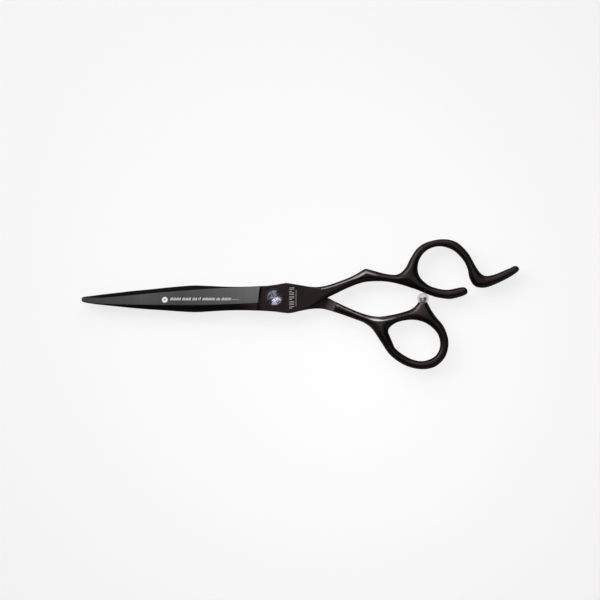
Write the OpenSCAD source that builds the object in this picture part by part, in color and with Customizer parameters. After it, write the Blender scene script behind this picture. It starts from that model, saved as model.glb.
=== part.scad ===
/* Hair cutting shears: two crossing halves on a keyed pivot screw, with an open finger ring
   that runs out into a finger rest, a closed thumb ring and a clear bumper.
   The tips point along -X, the rings lie along +X, the finger ring on the +Y side.
   The origin is on the pivot axis, in the plane of the tension nut's back face. */

/* [Halves] */
// Thickness of each half at the pivot block
half_t = 2.5; // [2.2:0.1:2.8]
// Thickness of a blade at its tip
tip_t = 1.1; // [0.9:0.1:1.5]
// Gap between the two inner faces
ride_gap = 0.06; // [0.04:0.01:0.1]
// Depth of the hollow ground into each inner face
hollow_depth = 0.22; // [0.1:0.02:0.3]

/* [Handles] */
// Rounding of the handle bars' edges, seen from the front
bar_round = 1.25; // [1:0.05:1.3]
// Half of the handle bars' thickness
bar_half_t = 2.5; // [2.3:0.1:2.8]

/* [Pivot] */
// Outside radius of the screw's head
head_r = 3.85; // [3.6:0.05:4]
// Thickness of the screw's head
head_t = 1.2; // [1:0.1:1.3]
// Radius of the screw's journal
journal_r = 2; // [1.8:0.1:2.1]
// Outside radius of the bush
bush_r = 2.6; // [2.5:0.1:2.8]
// Radius of the threaded end
thread_r = 1.6; // [1.5:0.1:1.7]
// Radius of the crystal's girdle
crystal_r = 3.4; // [3:0.1:3.5]

/* [Tension] */
// Outside radius of the tension nut
nut_r = 4.7; // [4.2:0.1:5]
// Thickness of the tension nut
nut_t = 1.2; // [1:0.1:1.6]
// Gap left between the nut and the thumb half, for tightening
nut_gap = 0.3; // [0.2:0.05:0.4]
// Grip flutes round the nut
nut_flutes = 24; // [16:2:30]

/* [Bumper] */
// Radius of the bumper ball
bumper_r = 2.5; // [2.2:0.1:2.6]
// Radius of the bumper's stud
stud_r = 0.8; // [0.6:0.1:0.9]

/* [Hidden] */
$fn = 64;

parting_z = half_t + nut_gap + nut_t; // height of the plane where the halves slide together
inner_z = ride_gap / 2;             // each inner face's distance from that plane
recess_t = 0.9;                     // depth of the recess that holds the washers
recess_r = 4.4;
friction_t = 0.2;
spring_t = 0.5;
key_t = recess_t + nut_gap - friction_t - spring_t;
washer_r = 4.2;
washer_hole_r = 1.7;
key_r = 2.5;                        // the keyed shank under the head
key_flat_x = 2.05;                  // its flats, from the axis
thread_flat_x = 1.35;               // the threaded end's flats, from the axis
fit = 0.04;                         // running clearance on a radius
head_floor_z = half_t - head_t + 0.15;
bumper_at = [63.15, -0.56];
bumper_base = -1.35;                // the bumper's flat base, from its centre
flange_t = 0.3;
flange_r = 1.5;
stud_head_r = 1.15;
stud_head_z = [-0.6, 0.5];
stud_end = -4.2;                    // the stud's buried end, from the bumper's centre
boss_top = -1.4;                    // the boss's flat seat, from the bumper's centre
boss_r = 2;
weld_deg = 20;                      // each shank's direction where blade and handle are welded
weld_at = [25.7, 3.9];
far = 100;

// ---- curves -------------------------------------------------------------------------------

// A smooth curve through points, as a Catmull-Rom spline with its ends repeated.
function spline_at(a, b, c, d, t) =
    0.5 * (2 * b + (c - a) * t + (2 * a - 5 * b + 4 * c - d) * t * t
    + (3 * b - a - 3 * c + d) * t * t * t);
function curve(p, steps = 3) = [
    for (i = [0:len(p) - 2])
        for (k = [0:steps - 1])
            spline_at(p[max(i - 1, 0)], p[i], p[i + 1], p[min(i + 2, len(p) - 1)], k / steps),
    p[len(p) - 1]
];
function loop(p, steps = 3) = [
    for (i = [0:len(p) - 1])
        for (k = [0:steps - 1])
            spline_at(p[(i + len(p) - 1) % len(p)], p[i], p[(i + 1) % len(p)],
                p[(i + 2) % len(p)], k / steps)
];
// Height of a curve given as points of rising x.
function height(p, x, i = 0) =
    i > len(p) - 3 || x < p[i + 1].x
        ? p[i].y + (p[i + 1].y - p[i].y) * (x - p[i].x) / (p[i + 1].x - p[i].x)
        : height(p, x, i + 1);
function reversed(p) = [for (i = [len(p) - 1:-1:0]) p[i]];

// ---- outlines, seen from the front --------------------------------------------------------

// The blades. Each has a spine, a cutting edge and the ridge where the ground face starts.
finger_spine = curve([
    [-81.2, -2.05], [-74, -3], [-64, -4], [-54, -4.85], [-44, -5.6], [-37, -6], [-32.5, -6.1],
    [-27, -5.8], [-20, -5.4], [-13, -5.3], [-5, -5.55]
]);
finger_edge = curve([
    [-81.2, -0.6], [-74, -0.3], [-61, 0.9], [-48.4, 2.1], [-31.4, 3.35], [-18.7, 4], [-5, 4.6]
]);
finger_ridge = curve([
    [-81.2, -1.85], [-74, -2.6], [-61, -3], [-48.4, -3.25], [-31.4, -3.25], [-18.7, -2.75],
    [-5, -2.2]
]);
thumb_spine = curve([
    [-81.2, 0.35], [-74, 1.15], [-64, 2.3], [-54, 3.3], [-44, 4.35], [-37, 4.95], [-32.5, 5.05],
    [-27, 4.85], [-20, 4.55], [-13, 4.5], [-5, 4.8]
]);
thumb_edge = curve([
    [-81.2, -1], [-74, -0.9], [-61, -2], [-48.4, -3.1], [-31.4, -4.3], [-18.7, -4.9], [-5, -5.25]
]);
thumb_ridge = curve([
    [-81.2, 0.1], [-74, 0.7], [-61, 1.5], [-48.4, 2.1], [-31.4, 2.2], [-18.7, 1.75], [-5, 1.2]
]);

// The two corners of a shank's weld, out from or in towards the middle of the shears.
function weld_corner(side, out) =
    [weld_at.x - out * sin(weld_deg), side * (weld_at.y + out * cos(weld_deg))];
weld_outer = 2.07;
weld_inner = -2.12;

// The pivot blocks, from the shoulder where the ground face ends to the weld. Each point of the
// side that carries on from the cutting edge has its partner on the side of the spine.
finger_block_edge = curve([
    [-6.3, 4.62], [-2.5, 5], [0.9, 5.45], [3.5, 5.95], [5, 6.25], [8, 5.75], [11, 5.25],
    [14, 4.7], [16.5, 4.42], [18.5, 4.45], [20.6, 4.72], [22.6, 5.12],
    weld_corner(1, weld_outer)
], 2);
finger_block_spine = curve([
    [-6.3, -5.5], [-2.5, -5.75], [0.9, -6.05], [4, -6.5], [6, -6.65], [8.5, -6.3],
    [11.1, -5.5], [13.4, -4.6], [16, -3.4], [18.5, -2], [21.1, -0.6], [23, 0.25],
    weld_corner(1, weld_inner)
], 2);
thumb_block_edge = curve([
    [-6.3, -5.3], [-2.5, -5.65], [0.9, -5.95], [4, -6.3], [6, -6.4], [8, -6.15], [11, -5.6],
    [14, -4.98], [16.5, -4.67], [18.5, -4.62], [20.6, -4.78], [22.6, -5.15],
    weld_corner(-1, weld_outer)
], 2);
thumb_block_spine = curve([
    [-6.3, 4.75], [-2.5, 4.95], [0.9, 5.3], [4, 5.8], [6, 5.95], [8.5, 5.5], [11.1, 4.8],
    [13.4, 3.9], [16, 2.8], [18.5, 1.6], [21.1, 0.5], [23, -0.3],
    weld_corner(-1, weld_inner)
], 2);

// The finger handle: shank, a ring that stays open at its far side, and the finger rest.
finger_shank_top = curve([
    [22, 5], [24.7, 5.8], [28.1, 7], [31.5, 8.3], [34.9, 10], [37.5, 11.6], [38.8, 12.25]
]);
finger_ring_outside = curve([
    [38.8, 12.25], [42, 11.4], [46.5, 10.2], [50.8, 9.6], [53.6, 10.4], [56, 12.9],
    [58, 16.8], [61, 21.1], [65.5, 23.7], [71.5, 24.85], [77, 23.7], [82, 19.2],
    [86, 12.4], [88.8, 9.45], [92.7, 9.5], [99.5, 12.2], [102, 13.35], [103.5, 13.1],
    [104.1, 12.1], [103.2, 10.8], [98, 7.7], [91, 4.65], [87, 4.35], [84.6, 5.5],
    [82.95, 8.5], [82.1, 12.4]
]);
finger_ring_inside = curve([
    [82.1, 12.4], [80, 16.4], [75.7, 20.35], [70, 21.85], [64.7, 20.1], [61.4, 15.8],
    [61, 10.7], [63.3, 6.9], [68, 4.2], [73.5, 3.25], [79.3, 4.3], [81.2, 4.05],
    [82, 2.8], [81.2, 1.3], [76.5, -0.25], [73, -0.45], [67, 0.7], [61, 3.1],
    [54.5, 5.4], [48, 6.8], [42, 7], [37, 6.3], [31, 4.1], [25.8, 1.6], [22, -0.2]
]);

// The thumb handle: shank, closed ring and the boss that carries the bumper.
thumb_outside = concat(
    curve([[22, 0.1], [25.8, -1.7], [31.5, -4.45], [38.3, -7.1], [44, -8.15], [50.2, -7.35],
        [56.5, -5.7], [59.5, -4.1], [61.2, -2.4]]),
    curve([[65.1, -2.4], [66.3, -4.8], [68.5, -8.1], [71.8, -12.2], [73.75, -17.5],
        [73.6, -22.5], [71.4, -26.7], [67.2, -29.8], [61.5, -30.4], [55.3, -28.55],
        [49.3, -24.4], [45.1, -18.4], [41.7, -13.4], [36.6, -9.9], [29.8, -7.5], [22, -5]])
);
thumb_hole = loop([
    [48.4, -15], [49.6, -12], [53.6, -10], [59.5, -9.4], [65, -11.1], [69.4, -15.3],
    [70.45, -20.5], [68.4, -24.9], [63, -27.05], [57, -25.65], [51, -21.2]
]);

module finger_handle_outline() {
    polygon(concat(finger_shank_top, finger_ring_outside, finger_ring_inside));
}

module thumb_handle_outline() {
    difference() {
        polygon(thumb_outside);
        polygon(thumb_hole);
    }
}

// ---- blades -------------------------------------------------------------------------------

// A solid through rings of points, each ring flat and with the same number of points.
module loft(rings) {
    n = len(rings[0]);
    polyhedron(
        points = [for (r = rings) each r],
        faces = concat(
            [[for (k = [0:n - 1]) k]],
            [for (i = [0:len(rings) - 2]) for (k = [0:n - 1])
                [i * n + k, (i + 1) * n + k, (i + 1) * n + (k + 1) % n, i * n + (k + 1) % n]],
            [[for (k = [n - 1:-1:0]) (len(rings) - 1) * n + k]]
        ),
        convexity = 4
    );
}

// A blade's thickness at x: half_t at the pivot, tip_t at the tip.
function blade_t(x) = tip_t + (half_t - 0.1 - tip_t) * pow((x + 82.2) / 77.2, 0.8);

// The blade's section at x, with the inner face at z = 0 and the outer face above it.
// squeeze draws it in around its middle, to round the tip.
function blade_section(x, edge, ridge, spine, squeeze) =
    let (
        e = height(edge, x), r = height(ridge, x), s = height(spine, x),
        side = sign(e - s), mid = (e + s) / 2, t = blade_t(x) * (0.6 + 0.4 * squeeze),
        land = min(0.8, abs(e - s) / 4), bevel = min(0.5, abs(e - s) / 5)
    )
    [for (p = [
        [e, 0.02], [e - side * land, 0], [mid, hollow_depth * squeeze], [s + side * land, 0],
        [s, 0], [s + side * 0.05, t * 0.72], [s + side * 0.35, t * 0.9], [r, t],
        [e - side * bevel, 0.3]
    ]) [x, mid + (p[0] - mid) * squeeze, p[1]]];

// The block's section from point e on the cutting edge's side to point s on the spine's side:
// flat, with a chamfer along both edges of the outer face.
function block_section(e, s) =
    let (top = half_t - inner_z, chamfer = 0.5, across = (s - e) / norm(s - e), w = norm(s - e))
    [for (p = [
        [0, 0], [0.8, 0], [w / 2, 0], [w - 0.8, 0], [w, 0], [w, top - chamfer],
        [w - chamfer, top], [chamfer, top], [0, top - chamfer]
    ]) [e.x + across.x * p[0], e.y + across.y * p[0], p[1]]];

// A whole blade with its block, up to the weld.
module blank(edge, ridge, spine, block_edge, block_spine) {
    tip_x = -81;
    tip_len = 0.95;
    stations = concat(
        [for (a = [80, 60, 35]) [tip_x - tip_len * sin(a), cos(a)]],
        [for (x = [tip_x:4:-9]) [x, 1]],
        [[-7.1, 1]]
    );
    rings = concat(
        [for (s = stations) blade_section(s[0], edge, ridge, spine, s[1])],
        [for (i = [0:len(block_edge) - 1]) block_section(block_edge[i], block_spine[i])]
    );
    loft(edge[0].y > spine[0].y ? [for (r = rings) reversed(r)] : rings);
}

// What lies beyond the weld, on the handle's side of it.
module past_weld(side) {
    translate([weld_at.x, side * weld_at.y, 0])
        rotate(side * weld_deg)
            translate([0, -far / 2, -far / 2]) cube([far, far, far]);
}

module finger_blade() {
    color("#2b2626")
    translate([0, 0, parting_z])
    difference() {
        translate([0, 0, inner_z])
            blank(finger_edge, finger_ridge, finger_spine, finger_block_edge, finger_block_spine);
        keyed_bar(key_r + fit, key_flat_x + fit, -1, half_t + 1);
        translate([0, 0, head_floor_z]) cylinder(r = head_r + 0.1, h = half_t);
    }
}

module thumb_blade() {
    color("#2b2626")
    translate([0, 0, parting_z])
    difference() {
        translate([0, 0, -inner_z]) mirror([0, 0, 1])
            blank(thumb_edge, thumb_ridge, thumb_spine, thumb_block_edge, thumb_block_spine);
        translate([0, 0, -half_t - 1]) cylinder(r = bush_r, h = half_t + 2);
        translate([0, 0, -half_t - 1]) cylinder(r = recess_r, h = 1 + recess_t);
    }
}

// ---- handles ------------------------------------------------------------------------------

// A flat outline turned into a bar with rounded sides.
module rounded_bar() {
    squareness = 0.75;
    minkowski() {
        linear_extrude(0.02, center = true) offset(delta = -bar_round) children();
        rotate_extrude($fn = 20)
            polygon([for (a = [-90:30:90])
                [bar_round * pow(cos(a), squareness),
                    bar_half_t * sign(a) * pow(abs(sin(a)), squareness)]]);
    }
}

module finger_handle() {
    color("#211d1d")
    translate([0, 0, parting_z])
    intersection() {
        rounded_bar() finger_handle_outline();
        past_weld(1);
    }
}

module thumb_handle() {
    color("#211d1d")
    translate([0, 0, parting_z])
    difference() {
        union() {
            intersection() {
                rounded_bar() thumb_handle_outline();
                past_weld(-1);
            }
            translate([0, 0, -parting_z]) bumper_frame()
                translate([0, 0, stud_end]) cylinder(r = boss_r, h = boss_top - stud_end);
        }
        translate([0, 0, -parting_z]) bumper_frame()
            translate([0, 0, stud_end]) cylinder(r = stud_r, h = -stud_end);
    }
}

// ---- pivot --------------------------------------------------------------------------------

// A round bar with two flats, between two heights.
module keyed_bar(r, flat, z0, z1) {
    intersection() {
        translate([0, 0, z0]) cylinder(r = r, h = z1 - z0);
        translate([-flat, -far / 2, z0]) cube([2 * flat, far, z1 - z0]);
    }
}

module pivot_screw() {
    color("#4a4545")
    translate([0, 0, parting_z])
    difference() {
        union() {
            translate([0, 0, head_floor_z]) cylinder(r = head_r, h = head_t + 0.1);
            keyed_bar(key_r, key_flat_x, inner_z, head_floor_z);
            translate([0, 0, recess_t - half_t]) cylinder(r = journal_r, h = half_t - recess_t + inner_z);
            keyed_bar(thread_r, thread_flat_x, 0.2 - parting_z, recess_t - half_t);
        }
        translate([0, 0, half_t - 0.15]) cylinder(r = crystal_r + 0.05, h = 1);
        translate([0, 0, half_t - 1.2]) cylinder(r1 = 0.4, r2 = crystal_r + 0.05, h = 1.05);
    }
}

module pivot_crystal() {
    table_r = crystal_r * 0.56;
    color("#d8d4ea")
    translate([0, 0, parting_z + half_t])
    union() {
        hull() {
            cylinder(r = crystal_r, h = 0.12, $fn = 16);
            rotate(11.25) translate([0, 0, 0.4]) cylinder(r = crystal_r * 0.84, h = 0.01, $fn = 8);
            translate([0, 0, 0.6]) cylinder(r = table_r, h = 0.12, $fn = 8);
        }
        translate([0, 0, -0.98]) cylinder(r1 = 0.25, r2 = crystal_r - 0.1, h = 1, $fn = 16);
    }
}

module crystal_foil() {
    foil = 0.06;
    color("#c9c9d2")
    translate([0, 0, parting_z + half_t - 1.12])
    difference() {
        cylinder(r1 = 0.42, r2 = crystal_r - 0.02, h = 0.98);
        translate([0, 0, foil]) cylinder(r1 = 0.42, r2 = crystal_r - 0.02, h = 0.98);
    }
}

module ring(r, hole_r, t) {
    difference() {
        cylinder(r = r, h = t);
        translate([0, 0, -1]) cylinder(r = hole_r, h = t + 2);
    }
}

module pivot_bush() {
    color("#b08d57")
    translate([0, 0, parting_z - half_t + recess_t])
        ring(bush_r, journal_r + fit, half_t - recess_t - inner_z);
}

module friction_washer() {
    color("#e8e6df")
    translate([0, 0, parting_z - half_t + recess_t - friction_t])
        ring(washer_r, washer_hole_r, friction_t);
}

module spring_washer() {
    wall = 0.2;
    color("#9a9a9f")
    translate([0, 0, parting_z - half_t + recess_t - friction_t])
        rotate_extrude()
            polygon([
                [washer_hole_r, 0], [washer_hole_r + 0.3, 0],
                [washer_r - 0.1, -spring_t + wall], [washer_r - 0.1, -spring_t],
                [washer_r - 0.4, -spring_t], [washer_hole_r, -wall]
            ]);
}

module key_washer() {
    color("#a5a5aa")
    translate([0, 0, nut_t])
    difference() {
        cylinder(r = washer_r, h = key_t);
        keyed_bar(thread_r + fit, thread_flat_x + fit, -1, key_t + 1);
    }
}

module tension_nut() {
    slot_w = 1;
    chamfer = 0.3;
    color("#3a3535")
    difference() {
        rotate_extrude()
            polygon([
                [thread_r + fit, 0], [nut_r - chamfer, 0], [nut_r, chamfer],
                [nut_r, nut_t - chamfer], [nut_r - chamfer, nut_t], [thread_r + fit, nut_t]
            ]);
        for (i = [0:nut_flutes - 1])
            rotate(i * 360 / nut_flutes)
                translate([nut_r + 0.12, 0, -1]) cylinder(r = 0.35, h = nut_t + 2, $fn = 24);
        for (a = [0, 90, 180, 270])
            rotate(a) translate([thread_r + 0.7, -slot_w / 2, -1]) cube([1.5, slot_w, 1.4]);
    }
}

// ---- bumper -------------------------------------------------------------------------------

// The bumper's own frame: +Z runs out of the boss, and z = 0 is the ball's centre.
module bumper_frame() {
    translate([bumper_at.x, bumper_at.y, parting_z]) rotate([-90, 0, 0]) children();
}

// The part of the stud that the bumper is moulded round.
module stud_top() {
    translate([0, 0, bumper_base]) cylinder(r = flange_r, h = flange_t);
    translate([0, 0, bumper_base]) cylinder(r = stud_r, h = stud_head_z[0] - bumper_base);
    translate([0, 0, stud_head_z[0]]) cylinder(r = stud_head_r, h = stud_head_z[1] - stud_head_z[0]);
}

module bumper_stud() {
    color("#b87f45")
    bumper_frame() {
        translate([0, 0, stud_end]) cylinder(r = stud_r, h = bumper_base - stud_end);
        stud_top();
    }
}

module bumper() {
    color("#e6e2ee")
    bumper_frame()
    difference() {
        sphere(r = bumper_r);
        translate([0, 0, bumper_base - far]) cylinder(r = bumper_r, h = far);
        stud_top();
    }
}

finger_blade();
finger_handle();
thumb_blade();
thumb_handle();
pivot_screw();
pivot_crystal();
crystal_foil();
pivot_bush();
friction_washer();
spring_washer();
key_washer();
tension_nut();
bumper_stud();
bumper();
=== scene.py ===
import math

import bmesh
import bpy
import numpy as np
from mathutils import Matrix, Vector
from mathutils.bvhtree import BVHTree


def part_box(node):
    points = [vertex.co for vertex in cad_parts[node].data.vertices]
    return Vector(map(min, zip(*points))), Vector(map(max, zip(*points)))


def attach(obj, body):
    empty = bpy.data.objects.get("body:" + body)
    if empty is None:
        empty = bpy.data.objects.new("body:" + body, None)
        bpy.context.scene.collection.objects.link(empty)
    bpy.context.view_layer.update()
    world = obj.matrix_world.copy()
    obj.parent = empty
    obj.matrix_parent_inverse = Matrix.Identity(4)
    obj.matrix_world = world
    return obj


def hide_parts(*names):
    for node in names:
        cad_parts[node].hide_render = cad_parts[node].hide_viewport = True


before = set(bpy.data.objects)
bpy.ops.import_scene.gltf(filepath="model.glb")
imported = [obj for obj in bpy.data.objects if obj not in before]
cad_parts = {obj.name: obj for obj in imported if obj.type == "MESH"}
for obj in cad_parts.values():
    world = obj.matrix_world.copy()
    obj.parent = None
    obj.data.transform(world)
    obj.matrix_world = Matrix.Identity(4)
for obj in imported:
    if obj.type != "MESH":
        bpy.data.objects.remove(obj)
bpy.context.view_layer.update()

scene = bpy.context.scene
MM = 0.001
TURN = 2 * math.pi

# ---- places, from the CAD ----


def cad_box(node):
    low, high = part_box(node)
    return np.array(low) / MM, np.array(high) / MM


FINGER_LOW, FINGER_HIGH = cad_box("finger_blade")
THUMB_LOW, THUMB_HIGH = cad_box("thumb_blade")
PARTING = (FINGER_LOW[2] + THUMB_HIGH[2]) / 2  # plane where the halves slide on each other
INNER = FINGER_LOW[2] - PARTING  # each inner face's distance from it
HALF_T = FINGER_HIGH[2] - PARTING
HANDLE_HALF_T = cad_box("finger_handle")[1][2] - PARTING
HEAD_LOW, HEAD_HIGH = cad_box("pivot_screw")
CRYSTAL_LOW, CRYSTAL_HIGH = cad_box("pivot_crystal")
NUT_LOW, NUT_HIGH = cad_box("tension_nut")
BEAD_LOW, BEAD_HIGH = cad_box("bumper")
STUD_LOW = cad_box("bumper_stud")[0]
BEAD_R = (BEAD_HIGH[0] - BEAD_LOW[0]) / 2
BEAD = np.array([(BEAD_LOW[0] + BEAD_HIGH[0]) / 2, BEAD_HIGH[1] - BEAD_R, PARTING])
SEAT_Y = BEAD_LOW[1] - 0.04  # the boss's seat, just under the bumper
HEAD_R = (HEAD_HIGH[0] - HEAD_LOW[0]) / 2
HEAD_SEAT = PARTING + 1.45  # where the screw's head stops in the finger half
RECESS_TOP = THUMB_LOW[2] + 0.9  # ceiling of the washers' recess in the thumb half
KEY_R = 2.5  # radius of the screw's keyed neck
RECESS_R, BUSH_BORE_R, STUD_R = 4.4, 2.6, 0.8

# ---- small helpers ----


def curve(points, steps=10):
    """A Catmull-Rom curve through points, with its ends repeated."""
    p = np.array(points, float)
    before = np.vstack([p[:1], p[:-2]])
    start, end = p[:-1], p[1:]
    after = np.vstack([p[2:], p[-1:]])
    out = []
    for t in np.arange(steps) / steps:
        out.append(0.5 * (2 * start + (end - before) * t
                          + (2 * before - 5 * start + 4 * end - after) * t ** 2
                          + (3 * start - before - 3 * end + after) * t ** 3))
    return np.vstack([np.stack(out, 1).reshape(-1, p.shape[1]), p[-1:]])


def loop(points, steps=10):
    """A closed curve through points."""
    p = np.array(points, float)
    return curve(np.vstack([p[-2:], p, p[:2]]), steps)[2 * steps:-2 * steps]


def line(points):
    """y as a function of x, through points of rising x."""
    c = curve(points)
    return lambda x: np.interp(x, c[:, 0], c[:, 1])


def smooth(x, a, b):
    """0 up to a, 1 from b, and an easy slope between."""
    t = np.clip((np.asarray(x, float) - a) / (b - a), 0, 1)
    return t * t * (3 - 2 * t)


def mesh_object(name, verts_mm, faces, materials=(), index=None, smooth_angle=30):
    """An object from points in mm, with each face's material number in index."""
    mesh = bpy.data.meshes.new(name)
    mesh.from_pydata((np.asarray(verts_mm, float) * MM).tolist(), [], [list(f) for f in faces])
    for m in materials:
        mesh.materials.append(m)
    if index is not None:
        mesh.polygons.foreach_set("material_index", np.asarray(index, np.int32))
    mesh.validate()
    mesh.update()
    obj = bpy.data.objects.new(name, mesh)
    scene.collection.objects.link(obj)
    if smooth_angle:
        shade(obj, smooth_angle)
    return obj


def outward(obj, sliver=0):
    """Turns every face outwards, after closing up any sliver narrower than that many mm."""
    bm = bmesh.new()
    bm.from_mesh(obj.data)
    if sliver:
        bmesh.ops.remove_doubles(bm, verts=bm.verts, dist=sliver * MM)
        bmesh.ops.dissolve_degenerate(bm, dist=sliver * MM, edges=bm.edges)
    bmesh.ops.recalc_face_normals(bm, faces=bm.faces)
    bm.to_mesh(obj.data)
    bm.free()
    return obj


def shade(obj, angle):
    """Smooth shading on faces turned outwards, with edges sharper than the angle kept crisp."""
    bm = bmesh.new()
    bm.from_mesh(obj.data)
    bmesh.ops.recalc_face_normals(bm, faces=bm.faces)
    for f in bm.faces:
        f.smooth = True
    for e in bm.edges:
        e.smooth = len(e.link_faces) == 2 and e.calc_face_angle(0) < math.radians(angle)
    bm.to_mesh(obj.data)
    bm.free()
    obj.data.update()


def apply_modifiers(obj):
    graph = bpy.context.evaluated_depsgraph_get()
    mesh = bpy.data.meshes.new_from_object(obj.evaluated_get(graph), depsgraph=graph)
    obj.modifiers.clear()
    old = obj.data
    obj.data = mesh
    mesh.name = obj.name
    bpy.data.meshes.remove(old)


def boolean(obj, other, operation):
    """Joins the other object on or cuts it away, and removes it."""
    m = obj.modifiers.new("cut", "BOOLEAN")
    m.object = other
    m.operation = operation
    m.solver = "MANIFOLD"
    apply_modifiers(obj)
    bpy.data.objects.remove(other)


def lathe(name, profile, segments, materials=(), axis="Z", centre=(0, 0, 0), shape=None, angle=30):
    """A turned solid. profile is a list of (radius, height), either from one end on the axis to the
    other or right round a ring's section; shape, if given, moves each point in its plane."""
    verts, rings = [], []
    for r, z in profile:
        if r == 0:
            rings.append([len(verts)])
            verts.append((0, 0, z))
            continue
        ring = []
        for k in range(segments):
            a = TURN * k / segments
            x, y = shape(r, z, a) if shape else (r * math.cos(a), r * math.sin(a))
            ring.append(len(verts))
            verts.append((x, y, z))
        rings.append(ring)
    faces = []
    pairs = list(zip(rings[:-1], rings[1:]))
    if len(rings[0]) > 1:
        pairs.append((rings[-1], rings[0]))
    for a, b in pairs:
        for k in range(segments):
            n = (k + 1) % segments
            face = [a[k % len(a)], a[n % len(a)], b[n % len(b)], b[k % len(b)]]
            faces.append(list(dict.fromkeys(face)))
    v = np.array(verts, float)
    if axis == "Y":
        v = np.stack([v[:, 0], v[:, 2], -v[:, 1]], 1)
    return mesh_object(name, v + np.array(centre, float), faces, materials, smooth_angle=angle)


def rounded(profile, r, steps=4):
    """A profile with each inner corner rounded by r."""
    p = [np.array(q, float) for q in profile]
    out = [tuple(p[0])]
    for a, b, c in zip(p[:-2], p[1:-1], p[2:]):
        u, v = a - b, c - b
        lu, lv = np.linalg.norm(u), np.linalg.norm(v)
        k = min(r, lu * 0.45, lv * 0.45)
        s, e = b + u / lu * k, b + v / lv * k
        for t in np.linspace(0, 1, steps + 1):
            out.append(tuple((1 - t) ** 2 * s + 2 * t * (1 - t) * b + t * t * e))
    out.append(tuple(p[-1]))
    return out


# ---- materials ----


class Nodes:
    """Short names for building a material's nodes."""

    def __init__(self, name):
        self.mat = bpy.data.materials.new(name)
        self.mat.use_nodes = True
        self.tree = self.mat.node_tree
        self.bsdf = self.tree.nodes["Principled BSDF"]

    def add(self, kind, **values):
        n = self.tree.nodes.new(kind)
        for k, v in values.items():
            if k in n.inputs:
                n.inputs[k].default_value = v
            else:
                setattr(n, k, v)
        return n

    def link(self, a, b):
        self.tree.links.new(a, b)

    def put(self, socket, value):
        """Sets a socket to a plain value, or links another socket to it."""
        if isinstance(value, (int, float, tuple)):
            socket.default_value = value
        else:
            self.link(value, socket)

    def place(self, scale):
        """Object coordinates in mm, stretched by scale."""
        c = self.add("ShaderNodeTexCoord")
        m = self.add("ShaderNodeMapping")
        m.inputs["Scale"].default_value = [s / MM for s in scale]
        self.link(c.outputs["Object"], m.inputs["Vector"])
        return m.outputs["Vector"]

    def noise(self, scale, detail=3.0, rough=0.55, at=(1, 1, 1)):
        n = self.add("ShaderNodeTexNoise", Scale=scale, Detail=detail, Roughness=rough)
        self.link(self.place(at), n.inputs["Vector"])
        return n.outputs["Fac"]

    def ramp(self, value, stops):
        r = self.add("ShaderNodeValToRGB")
        r.color_ramp.elements[0].position, r.color_ramp.elements[0].color = stops[0]
        r.color_ramp.elements[1].position, r.color_ramp.elements[1].color = stops[-1]
        for at, colour in stops[1:-1]:
            r.color_ramp.elements.new(at).color = colour
        self.link(value, r.inputs["Fac"])
        return r.outputs["Color"]

    def remap(self, value, a, b, c, d):
        m = self.add("ShaderNodeMapRange")
        for k, v in zip(("From Min", "From Max", "To Min", "To Max"), (a, b, c, d)):
            m.inputs[k].default_value = v
        self.link(value, m.inputs["Value"])
        return m.outputs["Result"]

    def maths(self, operation, a, b):
        m = self.add("ShaderNodeMath", operation=operation)
        self.put(m.inputs[0], a)
        self.put(m.inputs[1], b)
        return m.outputs[0]

    def mix(self, fac, a, b, blend="MIX"):
        m = self.add("ShaderNodeMix", data_type="RGBA", blend_type=blend)
        for k, v in ((0, fac), (6, a), (7, b)):
            self.put(m.inputs[k], v)
        return m.outputs[2]

    def times(self, colour, factor):
        return self.mix(1.0, colour, factor, "MULTIPLY")

    def vary(self, noise, low, high):
        """The middle of a noise's range, spread from low to high."""
        return self.remap(noise, 0.3, 0.7, low, high)

    def axes(self):
        """Where a point is along x and along y."""
        c = self.add("ShaderNodeTexCoord")
        split = self.add("ShaderNodeSeparateXYZ")
        self.link(c.outputs["Object"], split.inputs[0])
        return split.outputs["X"], split.outputs["Y"]

    def leaning(self, lean):
        """Places along the blade, told apart by lines that lean across it."""
        x, y = self.axes()
        return self.maths("SUBTRACT", x, self.maths("MULTIPLY", y, lean))

    def between(self, place, start, end, a, b):
        """a before the start, b after the end, both in mm."""
        return self.remap(place, start * MM, end * MM, a, b)

    def near(self, point, inside, outside):
        """1 within the first distance of a point, falling to 0 at the second."""
        c = self.add("ShaderNodeTexCoord")
        d = self.add("ShaderNodeVectorMath", operation="DISTANCE")
        self.link(c.outputs["Object"], d.inputs[0])
        d.inputs[1].default_value = [v * MM for v in point]
        return self.between(d.outputs["Value"], inside, outside, 1.0, 0.0)

    def shoulder_shade(self):
        """0 on the step up from the blade to the block, which leans with the block's end; else 1. Where it
        is 0, painted shade darkens the colour.
        """
        u = self.leaning(0.135)
        before = self.between(u, -7.0, -6.8, 1.0, 0.0)
        after = self.between(u, -5.9, -5.4, 0.0, 1.0)
        return self.maths("MAXIMUM", before, after)

    def bump(self, height, strength, distance):
        b = self.add("ShaderNodeBump", Strength=strength, Distance=distance * MM)
        self.link(height, b.inputs["Height"])
        return b.outputs["Normal"]

    def set(self, **values):
        """Gives the shader's sockets their values or links, and returns the material."""
        for k, v in values.items():
            self.put(self.bsdf.inputs[k.replace("_", " ")], v)
        return self.mat


def grey(v, warm=1.0):
    return (v * warm, v, v, 1.0)


HANDLE_TONE, BLOCK_TONE = (0.028, 0.022, 0.022, 1), (0.032, 0.0245, 0.0235, 1)
# the filed edges' pale tones are painted highlight
FILED_HIGHLIGHT_TONES = ((0.165, 0.157, 0.155, 1), (0.13, 0.122, 0.12, 1))
WORN_TONE = (0.1, 0.092, 0.09, 1)
# centres of the painted highlights on the boss and the fork, in mm
PAINTED_HIGHLIGHT_BOSS = (61.4, -4.6, PARTING + 2)
PAINTED_HIGHLIGHT_FORK = (43.2, -10.5, PARTING + 2)


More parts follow.
